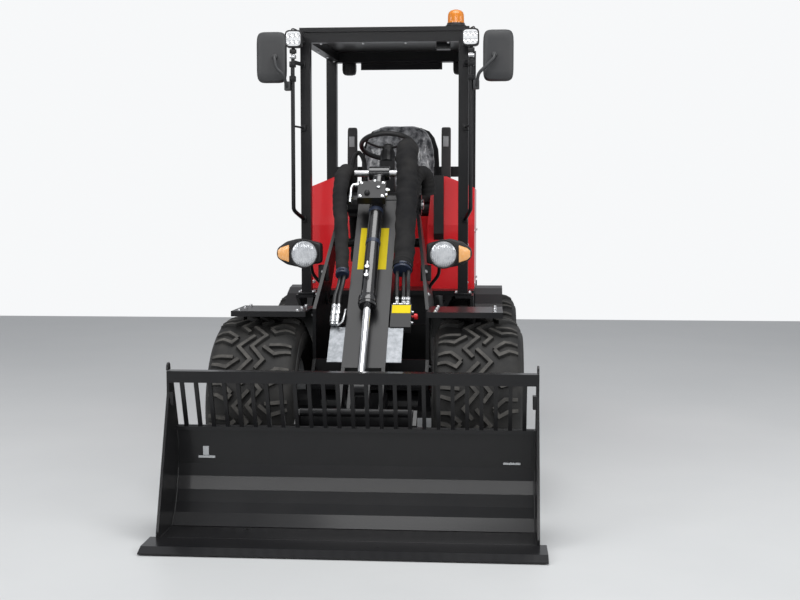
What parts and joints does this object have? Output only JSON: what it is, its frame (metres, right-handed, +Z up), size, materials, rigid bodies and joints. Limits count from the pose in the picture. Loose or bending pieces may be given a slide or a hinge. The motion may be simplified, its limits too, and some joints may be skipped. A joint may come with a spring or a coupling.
{
  "type": "mini wheel loader",
  "caption": "Compact articulated wheel loader with an open roll-over frame, lifting boom, tilting bucket and steering centre joint.",
  "frame": {"origin": "on the ground under the middle of the whole loader", "axes": "+X to the loader's own left, +Y towards its rear, +Z up; the bucket faces -Y"},
  "size_m": [1.5, 3.444, 2.2689],
  "materials": {
    "black_paint": "satin",
    "red_paint": "gloss",
    "cast_weight": "satin",
    "steel_pin": "satin",
    "chrome_rod": "polished",
    "tyre_rubber": "matt",
    "rim_paint": "satin",
    "seat_cover": "matt",
    "black_plastic": "matt",
    "amber": "gloss",
    "clear_lens": "gloss",
    "hose_fabric": "matt",
    "zinc": "satin"
  },
  "bodies": {
    "rear_chassis": {"rear_frame": "black_paint", "rear_axle": "black_paint", "centre_pins": "steel_pin", "engine_block": "black_paint", "rear_wall": "black_paint", "counterweight": "cast_weight", "platform": "black_paint", "side_consoles": "red_paint", "seat_pedestal": "red_paint", "control_stand": "black_plastic", "seat_base": "black_paint", "seat_cushion": "seat_cover", "seat_backrest": "seat_cover", "armrests": "black_plastic", "steering_column": "black_paint", "rops_frame": "black_paint", "roof_panel": "black_paint", "beacon_base": "black_plastic", "beacon_dome": "amber", "work_lights_front": "black_paint", "work_lights_rear": "black_paint", "grab_rails": "black_paint", "mirrors": "black_plastic", "relay_box": "black_paint", "rear_fenders": "black_paint"},
    "hood": {"hood": "red_paint"},
    "steering_wheel": {"steering_wheel": "black_plastic"},
    "wheel_rear_left": {"rim_rear_left": "rim_paint", "tyre_rear_left": "tyre_rubber"},
    "wheel_rear_right": {"rim_rear_right": "rim_paint", "tyre_rear_right": "tyre_rubber"},
    "wheel_front_left": {"rim_front_left": "rim_paint", "tyre_front_left": "tyre_rubber"},
    "wheel_front_right": {"rim_front_right": "rim_paint", "tyre_front_right": "tyre_rubber"},
    "steer_barrel": {"steer_barrel": "black_paint"},
    "steer_rod": {"steer_rod": "chrome_rod"},
    "front_frame": {"front_frame": "black_paint", "tower_sides": "black_paint", "front_axle": "black_paint", "tower_pins": "steel_pin", "front_fenders": "black_paint", "lamp_housings": "black_paint", "lamp_lenses": "clear_lens", "indicators": "amber", "hose_loops": "hose_fabric"},
    "boom": {"boom": "black_paint", "hose_sleeves": "hose_fabric", "coupler_brackets": "zinc", "coupler_block": "black_plastic"},
    "hitch_pin": {"hitch_pin": "steel_pin"},
    "bucket": {"quick_hitch": "black_paint", "bucket": "black_paint", "bucket_grille": "black_paint", "cutting_edge": "black_paint"},
    "lift_barrel": {"lift_barrel": "black_paint"},
    "lift_rod": {"lift_rod": "chrome_rod"},
    "tilt_barrel": {"tilt_barrel": "black_paint", "valve_block": "black_paint"},
    "tilt_rod": {"tilt_rod": "chrome_rod"}
  },
  "joints": [
    {"name": "hood_lift", "type": "hinge", "parent": "rear_chassis", "child": "hood", "pos_m": [0, 1.25, 1.318], "axis": [1, 0, 0], "range_deg": [0, 60]},
    {"name": "steering_wheel_turn", "type": "hinge", "parent": "rear_chassis", "child": "steering_wheel", "pos_m": [0, 0.312, 1.595], "axis": [0, 0.4226, 0.9063], "continuous": true},
    {"name": "wheel_rear_left_spin", "type": "hinge", "parent": "rear_chassis", "child": "wheel_rear_left", "pos_m": [0.485, 0.872, 0.3935], "axis": [1, 0, 0], "continuous": true},
    {"name": "wheel_rear_right_spin", "type": "hinge", "parent": "rear_chassis", "child": "wheel_rear_right", "pos_m": [-0.485, 0.872, 0.3935], "axis": [1, 0, 0], "continuous": true},
    {"name": "steering", "type": "hinge", "parent": "rear_chassis", "child": "front_frame", "pos_m": [0, 0.122, 0.52], "axis": [0, 0, 1], "range_deg": [-38, 38]},
    {"name": "steer_barrel_turn", "type": "hinge", "parent": "rear_chassis", "child": "steer_barrel", "pos_m": [0.14, 0.742, 0.52], "axis": [0, 0, 1], "range_deg": [-6, 6]},
    {"name": "steer_rod_slide", "type": "slide", "parent": "steer_barrel", "child": "steer_rod", "axis": [0.0696, -0.9976, 0], "range_m": [-0.14, 0.14]},
    {"name": "wheel_front_left_spin", "type": "hinge", "parent": "front_frame", "child": "wheel_front_left", "pos_m": [0.485, -0.628, 0.3935], "axis": [1, 0, 0], "continuous": true},
    {"name": "wheel_front_right_spin", "type": "hinge", "parent": "front_frame", "child": "wheel_front_right", "pos_m": [-0.485, -0.628, 0.3935], "axis": [1, 0, 0], "continuous": true},
    {"name": "boom_lift", "type": "hinge", "parent": "front_frame", "child": "boom", "pos_m": [0, -0.178, 1.29], "axis": [-1, 0, 0], "range_deg": [0, 98]},
    {"name": "lift_barrel_turn", "type": "hinge", "parent": "front_frame", "child": "lift_barrel", "pos_m": [0, -0.118, 0.4], "axis": [-1, 0, 0], "range_deg": [-2.87, 0]},
    {"name": "lift_rod_slide", "type": "slide", "parent": "lift_barrel", "child": "lift_rod", "axis": [0, -0.2489, 0.9685], "range_m": [0, 0.42975]},
    {"name": "tilt_barrel_turn", "type": "hinge", "parent": "front_frame", "child": "tilt_barrel", "pos_m": [0, -0.172, 1.44], "axis": [-1, 0, 0], "range_deg": [0, 98]},
    {"name": "tilt_rod_slide", "type": "slide", "parent": "tilt_barrel", "child": "tilt_rod", "axis": [0, -0.7012, -0.7129], "range_m": [-0.05533, 0.062]},
    {"name": "level_guide", "type": "hinge", "parent": "boom", "child": "hitch_pin", "pos_m": [0, -1.078, 0.375], "axis": [-1, 0, 0], "range_deg": [-98, 0]},
    {"name": "bucket_tilt", "type": "hinge", "parent": "hitch_pin", "child": "bucket", "pos_m": [0, -1.078, 0.375], "axis": [1, 0, 0], "range_deg": [-40, 45]}
  ],
  "couplings": [
    {"joint": "steer_barrel_turn", "follows": "steering", "ratio": 0.09959},
    {"joint": "steer_rod_slide", "follows": "steering", "m_per_rad": -0.17337},
    {"joint": "lift_barrel_turn", "follows": "boom_lift", "ratio": -0.02416},
    {"joint": "lift_rod_slide", "follows": "boom_lift", "m_per_rad": 0.25008},
    {"joint": "tilt_barrel_turn", "follows": "boom_lift", "ratio": 1},
    {"joint": "level_guide", "follows": "boom_lift", "ratio": -1},
    {"joint": "tilt_rod_slide", "follows": "bucket_tilt", "m_per_rad": 0.076394}
  ]
}
